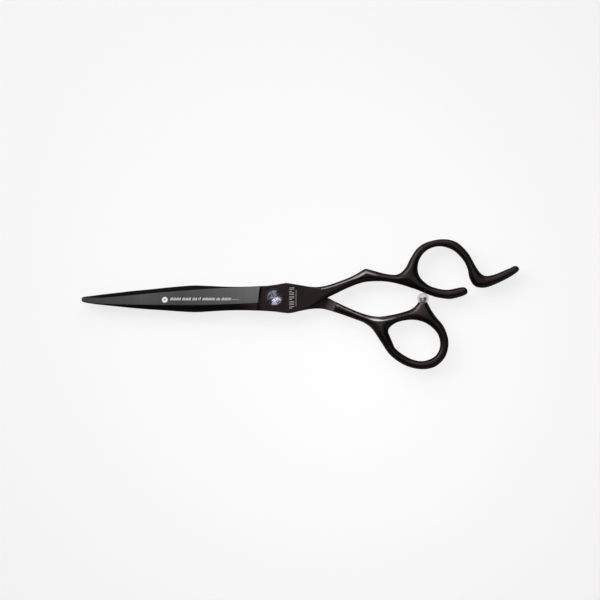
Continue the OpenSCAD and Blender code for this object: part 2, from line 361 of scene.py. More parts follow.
def coat_material(name, tone, block_tone, fade=None):
    """The hard black coating: satin and slightly brown, duller and browner on the block, with a fine
    orange peel, a faintly uneven tone and paler edges where it is rubbed. A painted highlight brightens
    it near the boss and the fork, and painted shade darkens the step from the blade up to the block.
    With fade, a filed edge's paler tone, which is painted highlight and dies away into the plain coat
    between those two places."""
    n = Nodes(name)
    cloud = n.noise(0.12, 4)
    fine = n.noise(2.6, 3, 0.6)
    x = n.axes()[0]
    block = n.maths("MULTIPLY", n.between(x, -6.2, -5.2, 0.0, 1.0), n.between(x, 12, 36, 1.0, 0.0))
    base = n.mix(block, tone, block_tone)
    if fade:
        base = n.mix(n.between(x, *fade, 0.0, 1.0), base, HANDLE_TONE)
    colour = n.times(base, n.vary(cloud, 0.88, 1.12))
    # painted highlight: the coat is made up to 2.4 times paler near the boss and the fork, whose broad tops
    # catch the light
    painted_highlight = n.maths("MAXIMUM", n.near(PAINTED_HIGHLIGHT_BOSS, 1.2, 5.2), n.near(PAINTED_HIGHLIGHT_FORK, 1.5, 5.5))
    colour = n.times(colour, n.remap(painted_highlight, 0.0, 1.0, 1.0, 2.4))
    # painted shade: the step up from the blade to the block is darkened to a quarter
    colour = n.times(colour, n.remap(n.shoulder_shade(), 0.0, 1.0, 0.25, 1.0))
    worn = n.remap(n.add("ShaderNodeNewGeometry").outputs["Pointiness"], 0.52, 0.6, 0.0, 0.4)
    colour = n.mix(n.maths("MULTIPLY", worn, cloud), colour, WORN_TONE)
    roughness = n.maths("ADD", n.vary(cloud, 0.27, 0.33), n.vary(fine, -0.03, 0.03))
    roughness = n.maths("ADD", roughness, n.maths("MULTIPLY", block, 0.08))
    return n.set(Base_Color=colour, Roughness=roughness, Metallic=0.93, IOR=1.42,
                 Specular_Tint=(0.3, 0.28, 0.28, 1.0), Normal=n.bump(fine, 0.12, 0.02))


def ground_material():
    """The blades' ground faces: dark coated steel with grinding lines across the blade, and a painted
    reflection that makes them paler towards the pivot."""
    n = Nodes("ground_face_painted_reflection")
    lines = n.noise(1.0, 5, 0.75, at=(5.5, 0.12, 0.12))
    broad = n.noise(0.5, 3, 0.5, at=(0.8, 0.1, 0.1))
    # painted reflection: the tone grows paler from the tip towards the pivot, with a darker dip on the way
    along = n.between(n.axes()[0], -82, -6, 0.0, 1.0)
    base = n.ramp(along, [(0.0, grey(0.031, 1.06)), (0.2, grey(0.045, 1.05)), (0.36, grey(0.066, 1.05)),
                          (0.55, grey(0.056, 1.03)), (0.75, grey(0.077, 1.02)), (1.0, grey(0.122, 1.01))])
    tone = n.maths("MULTIPLY", n.vary(lines, 0.86, 1.14), n.vary(broad, 0.95, 1.05))
    # painted shade: the step up to the block is darkened to a tenth here
    colour = n.times(n.times(base, tone), n.remap(n.shoulder_shade(), 0.0, 1.0, 0.1, 1.0))
    return n.set(Base_Color=colour, Metallic=0.0, IOR=1.22, Roughness=n.vary(lines, 0.44, 0.56),
                 Normal=n.bump(lines, 0.25, 0.006))


def inner_material():
    """The blades' inner faces, honed along the blade, darker than the coat as painted shade from the other
    blade.
    """
    n = Nodes("honed_inner_painted_shade")
    lines = n.noise(1.0, 4, 0.7, at=(0.15, 4.0, 4.0))
    # painted shade: a near-black tone for the shade the other blade casts
    colour = n.ramp(lines, [(0.3, grey(0.01105, 1.06)), (0.7, grey(0.01495, 1.06))])
    return n.set(Base_Color=colour, Metallic=0.6, Roughness=n.vary(lines, 0.35, 0.45), IOR=1.25,
                 Specular_Tint=(0.5, 0.5, 0.5, 1.0), Normal=n.bump(lines, 0.15, 0.006))


def ride_material():
    """The face the halves slide on behind the pivot: burnished along the stroke, with painted shade that is
    darkest beside the other half's block and gives way to a paler tone towards the handle."""
    n = Nodes("ride_face_painted_shade")
    lines = n.noise(1.0, 4, 0.7, at=(3.5, 1.2, 0.2))
    # painted shadow of the front half: dark next to its block, paler towards the weld
    along = n.between(n.leaning(0.36), 14, 27, 0.0, 1.0)
    base = n.ramp(along, [(0.0, (0.024, 0.019, 0.018, 1)), (0.45, (0.016, 0.0125, 0.012, 1)),
                          (0.68, (0.018, 0.0145, 0.014, 1)), (0.8, (0.07, 0.058, 0.053, 1)),
                          (1.0, (0.12, 0.100, 0.092, 1))])
    return n.set(Base_Color=n.times(base, n.vary(lines, 0.6, 1.4)), Metallic=0.5,
                 Roughness=n.vary(lines, 0.32, 0.46), Specular_Tint=(0.4, 0.38, 0.38, 1.0),
                 Normal=n.bump(lines, 0.2, 0.006))


def metal_material(name, colour, rough, at=(1, 1, 1), metallic=1.0):
    """Turned metal: fine tool marks, slightly uneven tone."""
    n = Nodes(name)
    marks = n.noise(3.0, 4, 0.7, at=at)
    return n.set(Base_Color=n.times(colour + (1.0,), n.vary(marks, 0.88, 1.12)), Metallic=metallic,
                 Roughness=n.vary(marks, rough * 0.85, rough * 1.2), Normal=n.bump(marks, 0.15, 0.01))


def plastic_material(name, colour, rough):
    """Plain plastic or dark enamel, with a fine grain."""
    n = Nodes(name)
    grain = n.noise(4.0, 3, 0.6)
    return n.set(Base_Color=n.times(colour + (1.0,), n.vary(grain, 0.95, 1.05)),
                 Roughness=n.vary(grain, rough - 0.04, rough + 0.04), Normal=n.bump(grain, 0.1, 0.01))


HALF_MATERIALS = [coat_material("black_coat", HANDLE_TONE, BLOCK_TONE), ground_material(),
                  inner_material(), ride_material(),
                  coat_material("black_coat_filed_highlight", *FILED_HIGHLIGHT_TONES, fade=(39.5, 44.5)),
                  coat_material("black_coat_filed_lower_highlight", *FILED_HIGHLIGHT_TONES, fade=(46, 52))]
COATED, GROUND, HONED, RIDE, FILED_HIGHLIGHT_FINGER, FILED_HIGHLIGHT_THUMB = range(len(HALF_MATERIALS))

# ---- the halves' outlines, in mm, seen from the front ----

WELD = np.array([25.7, 3.9])  # the middle of each shank's weld
WELD_DIR = math.radians(20)

FINGER = {
    "side": 1,
    "spine": line([(-82.2, -1.7), (-81.2, -1.95), (-78, -2.45), (-74, -2.95), (-67, -3.66),
                   (-60, -4.38), (-53.5, -4.9), (-46.7, -5.35), (-40, -5.83), (-35.5, -6.08),
                   (-32, -6.08), (-27, -5.78), (-20, -5.4), (-13, -5.3), (-3, -5.6)]),
    "edge": line([(-82.2, 0.1), (-81.2, 0.05), (-74, -0.15), (-67.5, 0.35), (-61, 0.92),
                  (-48.4, 2.12), (-31.4, 3.42), (-18.7, 4.12), (-10, 4.5), (-3, 4.75)]),
    "ridge": line([(-82.2, -1.5), (-81.2, -1.75), (-74, -2.55), (-61, -2.98), (-48.4, -3.12),
                   (-31.4, -3.12), (-18.7, -2.72), (-10.4, -2.3), (-3, -1.9)]),
    "outline": [
        curve([(-6.9, -5.45), (-2.5, -5.75), (0.9, -6.05), (4, -6.5), (6, -6.65),
               (8.5, -6.3), (11.1, -5.5), (13.4, -4.6), (16, -3.4), (18.5, -2), (21.1, -0.6),
               (23, 0.25), (25.8, 1.6), (31, 4.1), (37, 6.35), (42, 7), (48, 6.8), (54.5, 5.4),
               (61, 3.1), (67, 0.7), (73, -0.45), (76.5, -0.25), (81.2, 1.3), (82, 2.8),
               (81.2, 4.05), (79.3, 4.3), (73.5, 3.25), (68, 4.2), (63.3, 6.9), (61, 10.7),
               (61.4, 15.8), (64.7, 20.1), (70, 21.85), (75.7, 20.35), (80, 16.4), (82.1, 12.4),
               (82.95, 8.5), (84.6, 5.5), (87, 4.35), (91, 4.65), (98, 7.7), (103.1, 10.8),
               (103.98, 12.1), (103.4, 13.1), (102, 13.35), (99.5, 12.2), (92.7, 9.5),
               (88.8, 9.45), (86, 12.4), (82, 19.2), (77, 23.7), (71.5, 24.85), (65.5, 23.7),
               (61, 21.1), (58, 16.8), (56, 12.9), (53.6, 10.4), (50.8, 9.6), (46.5, 10.2),
               (42, 11.4), (38.8, 12.25)]),
        curve([(38.8, 12.25), (37.5, 11.6), (34.9, 10), (31.5, 8.3), (28.1, 7), (24.7, 5.8),
               (21.3, 4.85), (17.9, 4.42), (14.5, 4.65), (11, 5.25), (8, 5.75), (5, 6.2)]),
        curve([(5, 6.2), (3.5, 5.95), (0.9, 5.45), (-2.5, 5), (-5.8, 4.6)]),
        curve([(-6.1, 4.3), (-6.45, 2.2), (-6.75, 0.4), (-6.8, -0.9), (-6.9, -3), (-6.9, -5.3)]),
    ],
    "holes": [],
}
THUMB = {
    "side": -1,
    "spine": line([(-82.2, 0.2), (-81.2, 0.3), (-78, 0.62), (-74, 1.14), (-67, 1.96),
                   (-60, 2.76), (-53.5, 3.37), (-46.7, 4.08), (-40, 4.7), (-35.5, 5.02),
                   (-32, 5.05), (-27, 4.84), (-20, 4.56), (-13, 4.53), (-3, 4.95)]),
    "edge": line([(-82.2, -1.6), (-81.2, -1.55), (-74, -1.6), (-61, -2.4), (-48.4, -3.4),
                  (-31.4, -4.5), (-18.7, -4.95), (-3, -5.35)]),
    "ridge": line([(-82.2, 0.1), (-81.2, 0.1), (-74, 0.7), (-61, 1.5), (-48.4, 2.05),
                   (-31.4, 2.15), (-18.7, 1.75), (-3, 1.1)]),
    "outline": [
        curve([(-6.9, 4.5), (-6.9, 2.5), (-6.8, 0.4), (-6.75, -0.8), (-6.45, -2.6), (-6.1, -4.7)]),
        curve([(-5.8, -5.25), (-2.5, -5.65), (0.9, -5.95), (4, -6.3), (6, -6.4), (8, -6.15),
               (11, -5.6), (14.5, -4.92), (17.9, -4.6), (21.3, -4.85), (25.7, -6.1),
               (29.8, -7.48), (34, -9), (38.3, -10.7), (41.7, -13.4), (45.1, -18.4),
               (49.3, -24.4), (55.3, -28.6), (61.5, -30.4), (67.2, -29.8), (71.4, -26.7),
               (73.6, -22.5), (73.85, -17.5), (71.8, -12.2), (68.5, -8.1), (66.3, -4.8),
               (65.15, -2.2), (64.9, -1)]),
        curve([(61.3, -1), (61.0, -2.1), (59.5, -4.1), (56.5, -5.7), (50.2, -7.35),
               (44, -8.15), (38.3, -7.1), (31.5, -4.45), (25.8, -1.7), (23, -0.3), (21.1, 0.5),
               (18.5, 1.6), (16, 2.8), (13.4, 3.9), (11.1, 4.8), (8.5, 5.5), (6, 5.9),
               (4, 5.75), (0.9, 5.3), (-2.5, 4.95), (-6.9, 4.65)]),
    ],
    "holes": [loop([(48.35, -15), (49.6, -12), (53.6, -10), (59.5, -9.4), (65, -11.1),
                    (69.4, -15.3), (70.5, -20.5), (68.4, -24.9), (63, -27.05), (57, -25.65),
                    (51, -21.2)])],
}

# ---- the blocks and handles: one rounded solid for each half ----


def outline_sides(half):
    """Start and end points of the outline's straight sides."""
    loops = [np.vstack(half["outline"])] + half["holes"]
    a = np.vstack(loops)
    b = np.vstack([np.roll(p, -1, 0) for p in loops])
    keep = np.linalg.norm(b - a, axis=1) > 1e-6
    return a[keep], b[keep]


def outline_distance(p, a, b):
    """Signed distance of points from the outline, positive inside, and its gradient."""
    out = np.empty(len(p))
    grad = np.empty((len(p), 2))
    ab = b - a
    ll = (ab ** 2).sum(1)
    for i in range(0, len(p), 3000):
        q = p[i:i + 3000]
        ap = q[:, None] - a[None]
        t = np.clip((ap * ab).sum(2) / ll, 0, 1)
        off = ap - t[..., None] * ab
        d2 = (off ** 2).sum(2)
        k = d2.argmin(1)
        rows = np.arange(len(q))
        d = np.sqrt(d2[rows, k])
        crossing = (a[None, :, 1] > q[:, None, 1]) != (b[None, :, 1] > q[:, None, 1])
        dy = np.where(np.abs(ab[:, 1]) < 1e-12, 1e-12, ab[:, 1])
        at = a[None, :, 0] + (q[:, None, 1] - a[None, :, 1]) / dy * ab[None, :, 0]
        inside = (crossing & (at > q[:, None, 0])).sum(1) % 2 == 1
        sign = np.where(inside, 1.0, -1.0)
        out[i:i + 3000] = d * sign
        grad[i:i + 3000] = off[rows, k] / np.maximum(d, 1e-9)[:, None] * sign[:, None]
    return out, grad


def blur(field, sigma):
    """The field blurred by a bell curve that many samples wide."""
    n = int(3 * sigma) + 1
    w = np.exp(-0.5 * (np.arange(-n, n + 1) / sigma) ** 2)
    w /= w.sum()
    for axis in (0, 1):
        field = np.apply_along_axis(lambda r: np.convolve(r, w, mode="same"), axis, field)
    return field


def smooth_max(a, ga, b, gb, soft):
    """The larger of two distances, rounded where they meet, with its gradient."""
    diff = a - b
    root = np.sqrt(diff ** 2 + soft ** 2)
    w = 0.5 * (1 + diff / root)
    value = 0.5 * (a + b + root)
    if ga is None:
        return value, None
    return value, ga * w[:, None] + gb * (1 - w)[:, None]


def surface_nets(f, origin, step):
    """Quads of the surface where the sampled field f is zero."""
    s = f < 0
    corners = [(i, j, k) for i in (0, 1) for j in (0, 1) for k in (0, 1)]
    n = tuple(m - 1 for m in f.shape)

    def at(grid, c):
        return grid[c[0]:c[0] + n[0], c[1]:c[1] + n[1], c[2]:c[2] + n[2]]

    count = sum(at(s, c).astype(np.int8) for c in corners)
    active = (count > 0) & (count < 8)
    cells = np.argwhere(active)
    index = np.full(n, -1, np.int64)
    index[active] = np.arange(len(cells))
    total = np.zeros((len(cells), 3))
    hits = np.zeros(len(cells))
    for c in corners:
        for axis in range(3):
            if c[axis]:
                continue
            e = list(c)
            e[axis] = 1
            a = f[tuple((cells + np.array(c)).T)]
            b = f[tuple((cells + np.array(e)).T)]
            cross = (a < 0) != (b < 0)
            t = np.where(cross, a / np.where(cross, a - b, 1), 0)
            p = np.array(c, float)[None] + np.zeros((len(cells), 3))
            p[:, axis] += t
            total[cross] += p[cross]
            hits[cross] += 1
    verts = (cells + total / hits[:, None]) * step + origin
    faces = []
    for axis in range(3):
        u, v = [k for k in range(3) if k != axis]
        lo = [slice(None)] * 3
        hi = [slice(None)] * 3
        lo[axis], hi[axis] = slice(0, -1), slice(1, None)
        change = s[tuple(lo)] != s[tuple(hi)]
        edges = np.argwhere(change)
        edges = edges[(edges[:, u] > 0) & (edges[:, v] > 0)
                      & (edges[:, u] < n[u]) & (edges[:, v] < n[v])]
        inside_first = s[tuple(edges.T)]
        quad = []
        for du, dv in ((-1, -1), (0, -1), (0, 0), (-1, 0)):
            c = edges.copy()
            c[:, u] += du
            c[:, v] += dv
            quad.append(index[tuple(c.T)])
        quad = np.stack(quad, 1)
        flip = inside_first if axis != 1 else ~inside_first
        quad[~flip] = quad[~flip][:, ::-1]
        faces.append(quad)
    return verts, np.vstack(faces)


RING_HALF_T, RING_SWELL = 2.02, 0.38  # a bar's half thickness, and more where it is wide
REST_TAPER = 0.25  # how much thinner the finger rest's end is
TIGHT = 1.3  # the rounding beside a filed flat


def handle_solid(half, step=0.25):
    """Block, shank and ring of one half. Before the weld only the outer half of the thickness is
    there, down to the face the halves slide on."""
    side = half["side"]
    a, b = outline_sides(half)
    right, bottom, top = a[:, 0].max(), a[:, 1].min(), a[:, 1].max()
    low = np.array([a[:, 0].min() - 1.0, bottom - 1.0, -HANDLE_HALF_T - 0.6])
    high = np.array([right + 1.0, top + 1.0, HANDLE_HALF_T + 0.6])
    n = np.ceil((high - low) / step).astype(int) + 1
    gx, gy, gz = (low[k] + np.arange(n[k]) * step for k in range(3))
    X, Y = np.meshgrid(gx, gy, indexing="ij")
    d, g = outline_distance(np.stack([X.ravel(), Y.ravel()], 1), a, b)
    D = d.reshape(X.shape)
    half_width = np.maximum(D, 0)
    swell = smooth(blur(half_width, 0.9 / step), 0.35, 1.7)
    reach = int(round(1.5 / step))
    for axis in (0, 1):
        half_width = np.max([np.roll(half_width, k, axis) for k in range(-reach, reach + 1)], 0)
    half_width = blur(half_width, 0.7 / step)

    def grow(x, y):
        """A hair of width on the bars, none at the outermost points or beside the bumper."""
        room = np.minimum(np.minimum(top - y, y - bottom), right - x)
        beside = (np.abs(x - BEAD[0]) < 4.5) & (y > -3) & (y < 6)
        return np.where(beside, 0.0, 0.1 * smooth(room, 0.1, 1.6))

    def thickness(x, sw):
        """Half the thickness of the block, then of the shank, then of the ring."""
        ring = RING_HALF_T + RING_SWELL * sw - REST_TAPER * smooth(x, 90, 104)
        shank = HANDLE_HALF_T - 0.03
        h = shank + (ring - shank) * smooth(x, 30, 52)
        return HALF_T + (h - HALF_T) * smooth(x, 22, 34)

    def roundness(x, w):
        """Distance over which the edge rounds off: short on the block, all of a bar's half width
        on the handle."""
        block = 0.32 + 0.75 * (1 - smooth(x, -5.7, -4.7))
        start, end = (13, 31) if side > 0 else (23.5, 27)
        bar = np.clip(w, 1.0, 4.2) * (1 - 0.3 * smooth(x, 56, 64))
        return block + (bar - block) * smooth(x, start, end)

    def rounding(dist, h, r):
        """The half-thickness squared of an edge rounded over the distance r, and its slope."""
        t = np.minimum(dist / r, 1)
        inside = t > 0
        return (np.where(inside, h ** 2 * t * (2 - t), h ** 2 * 2 * t),
                np.where(inside, h ** 2 * (2 - 2 * t) / r, h ** 2 * 2 / r))

    def profile(dist, h, r, bevel, wide):
        """The half-thickness squared at a distance in from the outline, and its slope. Where
        bevel is 1 the edge is filed to a narrow flat instead of rounded over."""
        area, slope = rounding(dist, h, r)
        tight, tight_slope = rounding(dist, h, TIGHT)
        z = h - 0.5 * np.maximum(wide - dist, 0)
        flat_slope = np.where(dist < wide, z, 0.0)
        use = z ** 2 < tight
        filed = np.where(use, z ** 2, tight)
        filed_slope = np.where(use, flat_slope, tight_slope)
        return area + (filed - area) * bevel, slope + (filed_slope - slope) * bevel

    def filed_edge(x, y, gy):
        """Each shank's upper edge is filed: how much, and out to what distance from the outline."""
        if side > 0:
            much = smooth(x, 17, 22) * (1 - smooth(x, 40, 46))
            wide = 1.25 + 0.7 * smooth(x, 31, 38)
        else:
            much = smooth(x, 26, 28) * (1 - smooth(x, 47, 55)) * smooth(y, -14, -11)
            wide = 1.25 + 0.7 * smooth(x, 38, 44)
        return much * smooth(-gy, 0.3, 0.6), wide

    cw, sw_ = math.cos(side * WELD_DIR), math.sin(side * WELD_DIR)

    def combine(value, gv, x, y, z):
        """Cuts away what isn't there: the inner half before the weld, and above the boss's seat."""
        before = -((x - WELD[0]) * cw + (y - side * WELD[1]) * sw_)
        inner = INNER - side * z
        cut = np.minimum(before, inner)
        if gv is None:
            value, _ = smooth_max(value, None, cut, None, 0.06)
        else:
            gc = np.where((before < inner)[:, None], np.array([[-cw, -sw_, 0.0]]),
                          np.array([[0.0, 0.0, -side]]))
            value, gv = smooth_max(value, gv, cut, gc, 0.06)
        if side < 0:
            seat = np.where((x > 59.5) & (x < 67), y - SEAT_Y, -5.0)
            gs = None if gv is None else np.repeat([[0.0, 1.0, 0.0]], len(x), 0)
            value, gv = smooth_max(value, gv, seat, gs, 0.1)
        return value, gv

    D = D + grow(X, Y)
    H = thickness(X, swell)
    A, S = profile(D, H, roundness(X, half_width), *filed_edge(X, Y, g[:, 1].reshape(X.shape)))
    Z = gz[None, None, :]
    F = (Z ** 2 - A[..., None]) / np.sqrt(4 * Z ** 2 + (S ** 2)[..., None] + 0.3)
    F = combine(F, None, X[..., None], Y[..., None], Z)[0]
    verts, faces = surface_nets(F, low, step)

    def evaluate(p):
        dist, grad = outline_distance(p[:, :2], a, b)
        dist = dist + grow(p[:, 0], p[:, 1])
        fx = np.clip((p[:, 0] - low[0]) / step, 0, n[0] - 1.001)
        fy = np.clip((p[:, 1] - low[1]) / step, 0, n[1] - 1.001)
        ix, iy = fx.astype(int), fy.astype(int)
        tx, ty = fx - ix, fy - iy

        def between(field):
            return ((field[ix, iy] * (1 - tx) + field[ix + 1, iy] * tx) * (1 - ty)
                    + (field[ix, iy + 1] * (1 - tx) + field[ix + 1, iy + 1] * tx) * ty)

        h = thickness(p[:, 0], between(swell))
        area, slope = profile(dist, h, roundness(p[:, 0], between(half_width)),
                              *filed_edge(p[:, 0], p[:, 1], grad[:, 1]))
        z = p[:, 2]
        gf = np.stack([-slope * grad[:, 0], -slope * grad[:, 1], 2 * z], 1)
        size = np.sqrt((gf ** 2).sum(1) + 0.02)
        return combine((z ** 2 - area) / size, gf / size[:, None], p[:, 0], p[:, 1], z)

    for _ in range(3):
        value, grad = evaluate(verts)
        length = (grad ** 2).sum(1)
        move = -np.clip(value, -step, step)[:, None] * grad / np.maximum(length, 0.25)[:, None]
        verts = verts + np.clip(move, -0.6 * step, 0.6 * step)
    verts[:, 2] += PARTING
    return verts, faces


# ---- blades ----

TIP_X, BLADE_L = -82.2, 79.2
TIP_T = 1.1  # a blade's thickness at its tip


def blade_solid(half):
    """A blade from its tip to just inside the block, as sections across it. Returns the points,
    faces and each face's material."""
    tip = np.radians([89, 80, 68, 55, 40, 22])
    xs = np.concatenate([-81.0 - 0.95 * np.sin(tip), np.linspace(-81, -66, 24),
                         np.linspace(-65, -12, 44), np.linspace(-11, -3.6, 16)])
    squeeze = np.concatenate([np.cos(tip), np.ones(len(xs) - len(tip))])
    rings = []
    for x, q in zip(xs, squeeze):
        e, r, s = half["edge"](x), half["ridge"](x), half["spine"](x)
        way = np.sign(e - s)
        s, e = s - way * 0.1 * smooth(x, -82, -78), e + way * 0.08 * smooth(x, -82, -78)
        t = TIP_T + (HALF_T - 0.06 - TIP_T) * ((x - TIP_X) / BLADE_L) ** 0.8
        t = min(t, HALF_T - 0.03 + 0.025 * smooth(x, -16, -7))
        mid = (e + s) / 2
        # spine: how far it drops below the ridge, less and less towards the block
        drop = 0.45 * (1 - smooth(x, -22, -7.5)) * smooth(x, -81, -62) + 0.02 * (1 - smooth(x, -16, -7))
        land = min(0.7, abs(e - s) / 5)
        hollow = 0.2 * smooth(x, -82, -60) * (1 - smooth(x, -12, -5))
        ring, kind = [], []
        # inner face, from the spine to the edge
        inner = [s, s + way * land] + list(np.linspace(s + way * land, e - way * land, 8)[1:-1])
        inner += [e - way * land, e - way * 0.02]
        for y in inner:
            u = np.clip((y - s - way * land) / (e - s - way * 2 * land), 0, 1)
            ring.append((y, INNER + hollow * 4 * u * (1 - u)))
            kind.append(HONED)
        # cutting edge's own small bevel, then the ground face up to the ridge
        ring.append((e, INNER + 0.04))
        kind.append(GROUND)
        start = (e - way * 0.22, INNER + 0.2)
        for u in np.linspace(0, 1, 9):
            y = start[0] + (r - start[0]) * u
            z = start[1] + (t - start[1]) * (1 - (1 - u) ** 1.35)
            ring.append((y, z))
            kind.append(GROUND)
        kind[-1] = COATED
        # spine bevel, then its rounded side
        out = s + way * 0.12
        zs = t * (1 - drop)
        for u in (0.25, 0.5, 0.75, 1.0):
            ring.append((r + (out - r) * u, t + (zs - t) * (u ** 1.15)))
        ring += [(s + way * 0.03, zs - 0.12), (s, zs - 0.3), (s, INNER + 0.15)]
        kind += [COATED] * 7
        flat = 0.55 + 0.45 * q
        rings.append([(x, mid + (y - mid) * q, INNER + (z - INNER) * flat) for y, z in ring])
    rings = np.array(rings)
    m, n = rings.shape[:2]
    verts = rings.reshape(-1, 3)
    faces = []
    for i in range(m - 1):
        for k in range(n):
            after = (k + 1) % n
            faces.append([i * n + k, i * n + after, (i + 1) * n + after, (i + 1) * n + k])
    faces += [list(range(n))[::-1], list(range((m - 1) * n, m * n))]
    verts = verts * np.array([1, 1, half["side"]]) + np.array([0, 0, PARTING])
    return verts, faces, kind * (m - 1) + [COATED, COATED]


def cylinder(r, low, high, axis="Z", centre=(0, 0, 0), segments=96):
    """A cutter for a round bore."""
    return lathe("cutter", [(0, low), (r, low), (r, high), (0, high)], segments, (), axis, centre)


def half_object(name, half, cutters):
    """One half: its handle solid with its blade joined on and its bores cut."""
    verts, faces = handle_solid(half)
    obj = outward(mesh_object(name, verts, faces, HALF_MATERIALS, smooth_angle=0))
    verts, faces, kinds = blade_solid(half)
    boolean(obj, mesh_object(name + "_blade", verts, faces, HALF_MATERIALS, kinds), "UNION")
    for c in cutters:
        boolean(obj, c, "DIFFERENCE")
    outward(obj, 0.004)
    # the face the halves slide on, and each shank's filed edge, whose paler coat is painted highlight
    side = half["side"]
    polygons = obj.data.polygons
    centre, normal = np.empty(3 * len(polygons)), np.empty(3 * len(polygons))
    index = np.empty(len(polygons), np.int32)
    polygons.foreach_get("center", centre)
    polygons.foreach_get("normal", normal)
    polygons.foreach_get("material_index", index)
    centre, normal = centre.reshape(-1, 3) / MM, normal.reshape(-1, 3)
    x, y, z = centre.T
    coat = index == COATED
    ride = coat & (x > -8) & (normal[:, 2] * side < -0.9) & (np.abs(z - PARTING) < INNER + 0.08)
    index[ride] = RIDE
    shank = (x > 20) & (x < 45) if side > 0 else (x > 26) & (x < 53) & (y > -12)
    filed = coat & shank & (normal[:, 1] > 0.25) & (normal[:, 2] > 0.8) & (normal[:, 2] < 0.96)
    # the painted highlight begins only this far in from the outline, so the rounded edge outside it stays
    # dark
    limit = 0.72 + 0.25 * smooth(x[filed], 34, 40)
    filed[filed] = outline_distance(centre[filed][:, :2], *outline_sides(half))[0] > limit
    index[filed] = FILED_HIGHLIGHT_FINGER if side > 0 else FILED_HIGHLIGHT_THUMB
    polygons.foreach_set("material_index", index)
    shade(obj, 32)
    return obj


def piece(obj, slot, body, *nodes):
    """Hides the nodes of the CAD a piece stands for and hangs the piece on the body it rides; its slot is
    not used.
    """
    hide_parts(*nodes)
    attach(obj, body)
    return obj


finger = piece(half_object("finger_half", FINGER, [
    cylinder(HEAD_R + 0.1, HEAD_SEAT, PARTING + 4),
    cylinder(KEY_R + 0.04, PARTING - 1, PARTING + 2),
]), "coated_steel", "finger_half", "finger_blade", "finger_handle")
piece(half_object("thumb_half", THUMB, [
    cylinder(RECESS_R, PARTING - 4, RECESS_TOP),
    cylinder(BUSH_BORE_R, PARTING - 3, PARTING + 1),
    cylinder(STUD_R, STUD_LOW[1], SEAT_Y + 1, "Y", (BEAD[0], 0, PARTING), 48),
]), "coated_steel", "thumb_half", "thumb_blade", "thumb_handle")

# ---- the pivot's pieces ----

THREAD_R, PITCH = 1.6, 0.35
THREAD_LOW = HEAD_LOW[2]
KEY_LOW = PARTING + INNER
CUP_R = (CRYSTAL_HIGH[0] - CRYSTAL_LOW[0]) / 2 - 0.14
RIM = HEAD_HIGH[2]
GIRDLE = FINGER_HIGH[2]


def flatted(r, a, half_flat):
    """A point of a circle, with the circle's two sides filed flat."""
    return max(-half_flat, min(half_flat, r * math.cos(a))), r * math.sin(a)


def screw_shape(r, z, a):
    """Flats on the keyed neck, and a thread with flats for the key washer below it."""
    if KEY_LOW <= z <= HEAD_SEAT and abs(r - KEY_R) < 0.1:
        return flatted(r, a, 2.05)
    if THREAD_LOW + 0.02 < z < RECESS_TOP and r < THREAD_R + 0.01:
        turn = (z / PITCH - a / TURN) % 1
        depth = 0.17 * (1 - abs(2 * turn - 1))
        return flatted(max(0.6, min(r, THREAD_R - depth)), a, 1.35)
    return r * math.cos(a), r * math.sin(a)


def screw_profile():
    """From the floor of the crystal's cup, over the head and down to the thread's end."""
    head = rounded([(CUP_R, GIRDLE - 0.15), (CUP_R, RIM), (HEAD_R, RIM), (HEAD_R, HEAD_SEAT)], 0.16)
    threads = [(THREAD_R, z) for z in np.arange(RECESS_TOP - 0.03, THREAD_LOW + 0.14, -0.045)]
    return ([(0, GIRDLE - 1.2), (0.4, GIRDLE - 1.2)] + head
            + [(KEY_R, HEAD_SEAT), (KEY_R, KEY_LOW), (2.0, KEY_LOW), (2.0, RECESS_TOP),
               (THREAD_R, RECESS_TOP)]
            + threads + [(1.42, THREAD_LOW), (0.75, THREAD_LOW), (0.55, THREAD_LOW + 0.25),
                         (0, THREAD_LOW + 0.25)])


SCREW = metal_material("screw_black", (0.028, 0.025, 0.025), 0.3, metallic=0.5)
piece(lathe("pivot_screw_turned", screw_profile(), 96, [SCREW], shape=screw_shape),
      "screw_steel", "finger_half", "pivot_screw")


def polar(radius, turn, z):
    a = math.radians(turn)
    return (radius * math.cos(a), radius * math.sin(a), z)


def crystal_mesh():
    """A round brilliant: table, kites, stars and girdle facets over a faceted pavilion."""
    r = (CRYSTAL_HIGH[0] - CRYSTAL_LOW[0]) / 2 - 0.2
    top, belt = CRYSTAL_HIGH[2] - 0.005, GIRDLE + 0.1
    foot, keel = GIRDLE, CRYSTAL_LOW[2] + 0.01
    table, star = 0.54 * r, 0.8 * r
    slope = (top - belt) / (r - table)
    star_z = top - slope * (star * math.cos(math.radians(22.5)) - table)
    lower, lower_z = 0.42 * r, keel + (foot - keel) * 0.42
    v = [polar(table, 45 * k, top) for k in range(8)]
    v += [polar(star, 45 * k + 22.5, star_z) for k in range(8)]
    v += [polar(r, 22.5 * j, belt) for j in range(16)]
    v += [polar(r, 22.5 * j, foot) for j in range(16)]
    v += [polar(lower, 45 * k + 22.5, lower_z) for k in range(8)] + [(0, 0, keel)]
    f = [tuple(range(8))]
    for k in range(8):
        n, p = (k + 1) % 8, (k - 1) % 8
        g0, g1, g2 = 16 + 2 * k, 16 + (2 * k + 1) % 16, 16 + (2 * k + 2) % 16
        f += [(k, 8 + p, g0, 8 + k), (k, 8 + k, n), (8 + k, g0, g1), (8 + k, g1, g2)]
        f += [(g0 + 16, 48 + k, g1 + 16), (g1 + 16, 48 + k, g2 + 16),
              (g0 + 16, 48 + p, 56, 48 + k)]
    f += [(16 + j, 16 + (j + 1) % 16, 32 + (j + 1) % 16, 32 + j) for j in range(16)]
    return v, f


